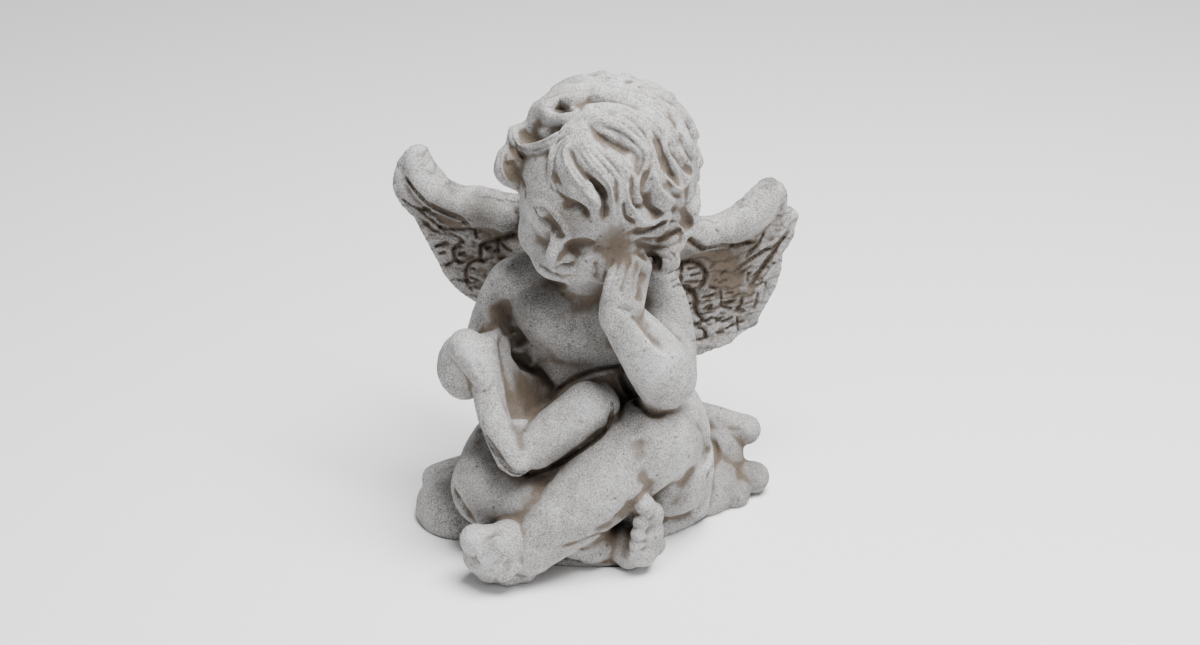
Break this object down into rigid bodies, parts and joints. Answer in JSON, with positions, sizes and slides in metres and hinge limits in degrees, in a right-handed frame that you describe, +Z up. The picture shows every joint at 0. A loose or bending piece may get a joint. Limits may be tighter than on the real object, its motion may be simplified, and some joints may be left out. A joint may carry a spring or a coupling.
{
  "type": "stone putto statue",
  "caption": "Cast-stone garden statue of a winged putto seated cross-legged on bunched cloth, cheek on hand, looking down at an open book.",
  "frame": {"origin": "on the flat underside of the cloth mound, below the middle of the figure", "axes": "+Z up, the figure faces -Y, its left arm and the forked cloth end are on +X"},
  "size_m": [0.189, 0.1369, 0.2246],
  "materials": {
    "stone": "weathered light grey cast stone, matt, with brown dirt in the hollows and small casting pits"
  },
  "bodies": {
    "root": {"putto": "stone"}
  },
  "joints": []
}
